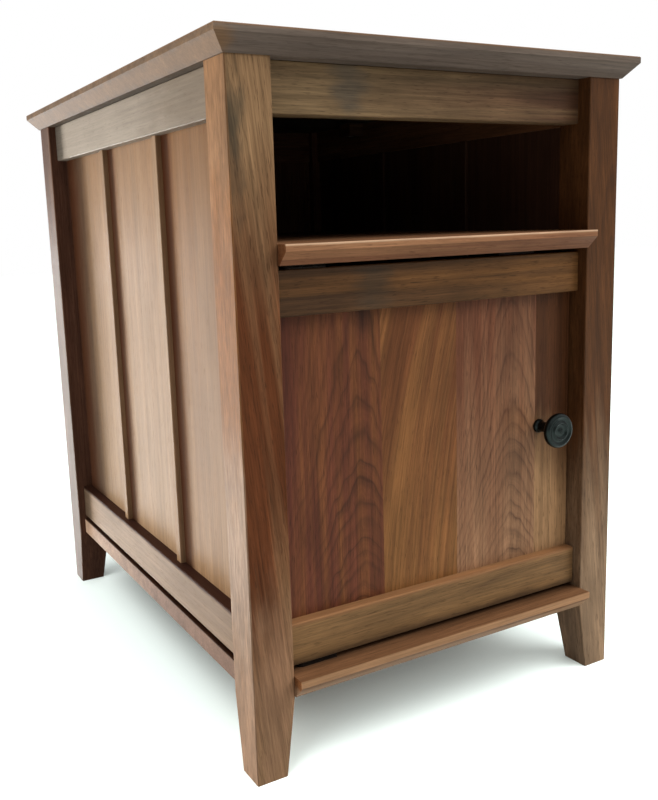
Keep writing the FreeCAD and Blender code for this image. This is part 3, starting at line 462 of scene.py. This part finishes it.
# Door rails
# Thicker walnut boards across the top and the bottom of the door, grooved over the boards' tongues.
smoky_end = patch((0, 0, 76), (40, 60, 24), 0.6, (52, 44, 34))
walnut("door_top_rail", ACROSS_FACING_FRONT, seed=74.0, pith_across=24.0, pith_deep=60.0, lean=0.02,
       ring=5.0, wander=10.0, contrast=0.35, share=0.25, streak=0.5, fade=0.22, mottle=0.6,
       pale=srgb(101, 68, 36), tint=srgb(63, 43, 26), dark=srgb(34, 23, 14), patches=[smoky_end])
# A painted highlight along the bottom rail's upper edge, and painted shade along its lower edge.
painted_highlight_upper_edge = patch((19.75, -11, 0), (4, 30, 900), 0.8, (134, 94, 62), ragged=0.5)
painted_shade_lower_edge = patch((-20, -11, 0), (9, 30, 900), 0.75, (44, 32, 24), ragged=0.3)
walnut("door_bottom_rail", ACROSS_FACING_FRONT, seed=75.0, pith_across=-30.0, pith_deep=60.0, lean=0.02,
       ring=5.0, contrast=0.4, streak=0.5, grain=0.8,
       pale=srgb(118, 89, 57), tint=srgb(99, 74, 47), dark=srgb(54, 40, 27),
       patches=[painted_highlight_upper_edge, painted_shade_lower_edge])


# Hinges
# Blackened knife hinges: flat leaves let into the shelf, the bottom board and the door's ends, each pair
# turning on a pin with a thin washer between.
def metal(name, color, metallic, rough, wear=0.12, reach=0.0008, sheen=0.5):
    """A metal or plastic whose tone, roughness and surface vary with fine noise of that reach in metres."""
    material = bpy.data.materials.new(name)
    material.use_nodes = True
    material.node_tree.nodes.clear()
    m = Nodes(material.node_tree)
    coords = m.add("ShaderNodeTexCoord", output="Object")
    fine = m.noise(coords, (reach, reach, reach), 3.0, 0.6)
    slow = m.noise(coords, (0.012, 0.012, 0.012))
    toned = m.scale(color[:3], m.math("MULTIPLY", m.vary(fine, wear * 2), m.vary(slow, wear * 2)))
    roughness = m.math("MULTIPLY_ADD", fine, 0.2, rough - 0.1)
    bump = m.add("ShaderNodeBump", {"Strength": 0.2, "Distance": 0.0001, "Height": fine})
    shader = m.add("ShaderNodeBsdfPrincipled", {
        "Base Color": toned, "Metallic": metallic, "Roughness": roughness, "Normal": bump,
        "Specular IOR Level": sheen})
    m.add("ShaderNodeOutputMaterial", {"Surface": shader})
    return material


blackened = metal("blackened_metal", srgb(24, 18, 14), 0.2, 0.75, wear=0.3, sheen=0.1)
for end in ("top", "bottom"):
    for piece in ("case_leaf", "door_leaf", "pin", "washer"):
        dress(f"hinge_{end}_{piece}", blackened)

# Catch
# A dark plastic housing with a ground magnet, screwed up under the shelf, and a thin steel strike on the
# back of the door. All the screws are zinc plated.
zinc = metal("zinc_plate", srgb(176, 176, 170), 1.0, 0.35)
for piece in ("hinge_case_screws", "hinge_door_screws", "catch_screws", "strike_screws", "top_button_screws",
              "bottom_cleat_screws", "knob_screw", "strike_plate"):
    dress(piece, zinc)
dress("catch_housing", metal("brown_plastic", srgb(62, 42, 32), 0.0, 0.5))
dress("catch_magnet", metal("ground_magnet", srgb(90, 90, 94), 0.8, 0.5))

# Knob
# Turned metal with a black patina, held by a screw from inside the door: a flared base, a waisted stem,
# and a disc with a rolled rim round a dished face, which has a raised ring and a tip.
KNOB_RADIUS, KNOB_SIDES = 17.7, 96
KNOB_STEM, KNOB_FACE = 24.0, 32.3
HOLE_RADIUS, HOLE_DEPTH = 2.0, 12.0
BASE_EDGE = ((6.8, 0.0), (7.2, 0.4), (7.3, 1.0), (7.2, 1.6))
STEM_START, STEM_RADIUS = 2.0, 5.3
BASE_FLARE, BASE_FLARE_LENGTH = 1.8, 2.4
NECK_FLARE, NECK_FLARE_LENGTH = 4.4, 2.6
RIM_WIDTH, DISH_EDGE = 3.4, KNOB_RADIUS - 3.6
DISH_DEPTH, DISH_SLOPE, DISH_ROUNDING = 1.2, 2.4, 0.7
RING_RADIUS, RING_HEIGHT, RING_WIDTH = 8.4, 1.9, 1.25
TIP_HEIGHT, TIP_WIDTH = 2.3, 1.9


def bell(distance, height, width):
    """A bell curve: the height times e to the minus square of the distance over the width."""
    return height * np.exp(-(distance / width) ** 2)


def knob_profile():
    """Radius and distance from the door in millimetres, from the screw's hole round to the tip.

    The stem is one radius plus a bell at the base and another at the neck, the rim is half an ellipse, and
    the face is a shallow dish plus a bell each for the ring and for the tip.
    """
    hole = ((0.0, HOLE_DEPTH), (HOLE_RADIUS, HOLE_DEPTH), (HOLE_RADIUS, 0.0))
    out = np.linspace(STEM_START, KNOB_STEM, 40)
    base_flare = bell(out - STEM_START, BASE_FLARE, BASE_FLARE_LENGTH)
    neck_flare = bell(KNOB_STEM - out, NECK_FLARE, NECK_FLARE_LENGTH)
    stem = np.column_stack((STEM_RADIUS + base_flare + neck_flare, out))
    turn = np.linspace(-np.pi / 2, np.pi / 2, 40)
    middle, half = (KNOB_STEM + KNOB_FACE) / 2, (KNOB_FACE - KNOB_STEM) / 2
    rim = np.column_stack((KNOB_RADIUS - RIM_WIDTH + RIM_WIDTH * np.cos(turn), middle + half * np.sin(turn)))
    across = np.linspace(DISH_EDGE, 0.0, 70)
    ring = bell(across - RING_RADIUS, RING_HEIGHT, RING_WIDTH)
    tip = bell(across, TIP_HEIGHT, TIP_WIDTH)
    dish = -DISH_DEPTH * np.clip((DISH_EDGE - across) / DISH_SLOPE, 0.0, 1.0) ** DISH_ROUNDING
    face = np.column_stack((across, KNOB_FACE + dish + ring + tip))
    return np.vstack((hole, BASE_EDGE, stem, rim, face))


def turned(name, profile, sides, axis_x, axis_z, start_y):
    """Turn a profile of radius and distance about an axis along Y, all in millimetres, towards the front.

    The profile starts and ends on the axis, where one vertex closes the shape with a fan of triangles.
    """
    angles = np.arange(sides) * 2 * np.pi / sides
    radius = profile[1:-1, 0][:, None]
    depth = start_y - profile[1:-1, 1][:, None] + 0 * angles
    rings = np.stack((axis_x + radius * np.cos(angles), depth, axis_z + radius * np.sin(angles)), axis=-1)
    poles = [(axis_x, start_y - out, axis_z) for out in profile[(0, -1), 1]]
    spots = np.vstack((rings.reshape(-1, 3), poles))
    around = np.arange(sides)
    after = (around + 1) % sides
    rows = np.arange(len(radius) - 1)[:, None] * sides
    walls = np.stack((rows + around, rows + after, rows + sides + after, rows + sides + around), axis=-1)
    first_pole, last_pole = len(spots) - 2, len(spots) - 1
    last_ring = (len(radius) - 1) * sides
    start_fan = np.column_stack((np.full(sides, first_pole), after, around))
    end_fan = np.column_stack((np.full(sides, last_pole), last_ring + around, last_ring + after))
    faces = [*walls.reshape(-1, 4).tolist(), *start_fan.tolist(), *end_fan.tolist()]
    mesh = bpy.data.meshes.new(name)
    mesh.from_pydata((spots / MM).tolist(), [], faces)
    mesh.shade_smooth()
    piece = bpy.data.objects.new(name, mesh)
    bpy.context.scene.collection.objects.link(piece)
    return piece


knob_low, knob_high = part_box("knob")
knob_middle = (knob_low + knob_high) / 2 * MM
knob = turned("turned_knob", knob_profile(), KNOB_SIDES, knob_middle.x, knob_middle.z, knob_high.y * MM)
knob.data.materials.append(metal("patina", srgb(31, 35, 34), 1.0, 0.3, wear=0.35))
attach(knob, "door")
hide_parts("knob")

# Floor
# A wide pale floor that shows nearly white to the camera and keeps the table's shadow. It throws back less
# light than it shows, so that the table's lower faces stay dark.
FLOOR_REACH = 9.0
FLOOR_SHOWN = (0.88, 0.97, 0.93, 1.0)
FLOOR_BOUNCE = (0.36, 0.36, 0.36, 1.0)
floor_mesh = bpy.data.meshes.new("floor")
corners = np.array([(-1, -1, 0), (1, -1, 0), (1, 1, 0), (-1, 1, 0)]) * FLOOR_REACH
floor_mesh.from_pydata(corners.tolist(), [], [(0, 1, 2, 3)])
floor = bpy.data.objects.new("floor", floor_mesh)
bpy.context.scene.collection.objects.link(floor)
floor_paint = bpy.data.materials.new("pale_floor")
floor_paint.use_nodes = True
floor_paint.node_tree.nodes.clear()
f = Nodes(floor_paint.node_tree)
rays = f.add("ShaderNodeLightPath").node.outputs
seen = f.math("MAXIMUM", rays["Is Camera Ray"], rays["Is Glossy Ray"])
seen = f.math("MAXIMUM", seen, rays["Is Transmission Ray"])
paint = f.add("ShaderNodeBsdfDiffuse", {"Color": f.blend(seen, FLOOR_BOUNCE, FLOOR_SHOWN)})
f.add("ShaderNodeOutputMaterial", {"Surface": paint})
floor_mesh.materials.append(floor_paint)

# Light
# A white surround, brighter overhead and behind the table than in front, with soft lamps. A low one behind
# on the left rakes along the table's side, others light its left edges and the floor, and a weaker one
# stands in front on the right.
FRONT_GLOW, OVERHEAD_GLOW, BACK_GLOW = 0.12, 1.6, 0.5
LEFT_TOWARDS = (-0.94, 0.32, 0.12)
OVERHEAD_TOWARDS = (0.35, -0.25, 0.9)
BACK_TOWARDS = (0.5, 0.86, 0.1)
world = bpy.data.worlds.new("studio")
bpy.context.scene.world = world
world.use_nodes = True
world.node_tree.nodes.clear()
w = Nodes(world.node_tree)
sky = w.add("ShaderNodeTexCoord", output="Generated")


def lobe(towards, low, high):
    """A share of the sky, rising smoothly with the cosine from that direction."""
    cosine = w.add("ShaderNodeVectorMath", (sky, towards), output="Value", operation="DOT_PRODUCT")
    return w.step(cosine, low, high)


leftward = lobe(LEFT_TOWARDS, 0.2, 0.65)
glow = w.math("MULTIPLY_ADD", lobe(OVERHEAD_TOWARDS, 0.15, 0.9), OVERHEAD_GLOW, FRONT_GLOW)
glow = w.math("MULTIPLY_ADD", lobe(BACK_TOWARDS, 0.4, 0.9), BACK_GLOW, glow)
rays = w.add("ShaderNodeLightPath").node.outputs
mirrored = w.math("MULTIPLY", rays["Is Glossy Ray"], leftward)
white = w.math("MAXIMUM", w.math("MAXIMUM", rays["Is Camera Ray"], rays["Is Transmission Ray"]), mirrored)
surround = w.add("ShaderNodeBackground", {"Strength": w.math("MAXIMUM", glow, white)})
surround.node.inputs["Color"].default_value = (1.0, 1.0, 1.0, 1.0)
w.add("ShaderNodeOutputWorld", {"Surface": surround})


def soft_light(name, at, aim, width, height, watts, only=()):
    """A flat lamp at a place, facing another, that no polish mirrors. It may fall on some pieces only."""
    lamp = bpy.data.lights.new(name, "AREA")
    lamp.shape = "RECTANGLE"
    lamp.size = width
    lamp.size_y = height
    lamp.energy = watts
    holder = bpy.data.objects.new(name, lamp)
    holder.location = at
    holder.rotation_euler = (Vector(aim) - Vector(at)).to_track_quat("-Z", "Y").to_euler()
    holder.visible_glossy = False
    bpy.context.scene.collection.objects.link(holder)
    if only:
        holder.light_linking.receiver_collection = bpy.data.collections.new(f"{name}_falls_on")
        for piece in only:
            holder.light_linking.receiver_collection.objects.link(piece)
    return holder


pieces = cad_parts
left_faces = [pieces[name] for name in pieces if name.startswith("left_") or name == "front_left_leg"]
left_edges = [pieces[name] for name in ("back_left_leg", "top", "bottom_board")]
soft_light("side_light", at=(-1.66, 5.82, 0.5), aim=(-0.2, 0.0, 0.3), width=1.0, height=1.0, watts=1600,
           only=left_faces)
soft_light("edge_light", at=(-4.0, 0.5, 0.5), aim=(-0.2, 0.0, 0.3), width=1.0, height=1.0, watts=158,
           only=left_edges)
soft_light("floor_light", at=(-2.3, -1.0, 3.0), aim=(-0.4, -0.2, 0.0), width=2.5, height=2.5, watts=125,
           only=[floor])
soft_light("floor_fill", at=(0.8, -2.6, 1.2), aim=(0.0, -0.3, 0.0), width=1.5, height=1.5, watts=25,
           only=[floor])
soft_light("front_light", at=(1.8, -1.6, 2.2), aim=(0.0, -0.25, 0.3), width=1.4, height=1.4, watts=50)
# The window and the bright floor before it, which the polish of the left side shows as a pale sheen.
sheen_light = soft_light("sheen_light", at=(-1.31, 5.9, -1.3), aim=(-0.2, 0.0, -1.3), width=1.0, height=3.4,
                         watts=290, only=left_faces + left_edges)
sheen_light.visible_diffuse = False
sheen_light.visible_glossy = True
sheen_light.light_linking.blocker_collection = bpy.data.collections.new("sheen_light_stopped_by")
for piece in pieces.values():
    sheen_light.light_linking.blocker_collection.objects.link(piece)

# Camera
# A lens on the front left, a little above the middle of the table, set as the photograph was taken.
PHOTO_WIDTH, PHOTO_HEIGHT = 658, 800
CAMERA_AT = (-0.51446, -0.94690, 0.48847)
YAW, PITCH, ROLL = 0.5136, 0.1774, -0.0328
FOCAL_PIXELS = 903.6
AXIS_X, AXIS_Y = 313.0, 381.9
SENSOR = 24.0
ahead = np.array((math.sin(YAW) * math.cos(PITCH), math.cos(YAW) * math.cos(PITCH), -math.sin(PITCH)))
level = np.array((math.cos(YAW), -math.sin(YAW), 0.0))
upward = np.cross(level, ahead)
right = math.cos(ROLL) * level + math.sin(ROLL) * upward
top = math.cos(ROLL) * upward - math.sin(ROLL) * level
lens = bpy.data.cameras.new("photo_camera")
lens.sensor_fit = "VERTICAL"
lens.sensor_height = SENSOR
lens.lens = FOCAL_PIXELS / PHOTO_HEIGHT * SENSOR
lens.shift_x = (PHOTO_WIDTH / 2 - AXIS_X) / PHOTO_HEIGHT
lens.shift_y = (AXIS_Y - PHOTO_HEIGHT / 2) / PHOTO_HEIGHT
camera = bpy.data.objects.new("photo_camera", lens)
camera.matrix_world = Matrix.Translation(CAMERA_AT) @ Matrix((right, top, -ahead)).transposed().to_4x4()
bpy.context.scene.collection.objects.link(camera)
bpy.context.scene.camera = camera
bpy.context.scene.view_settings.view_transform = "Standard"
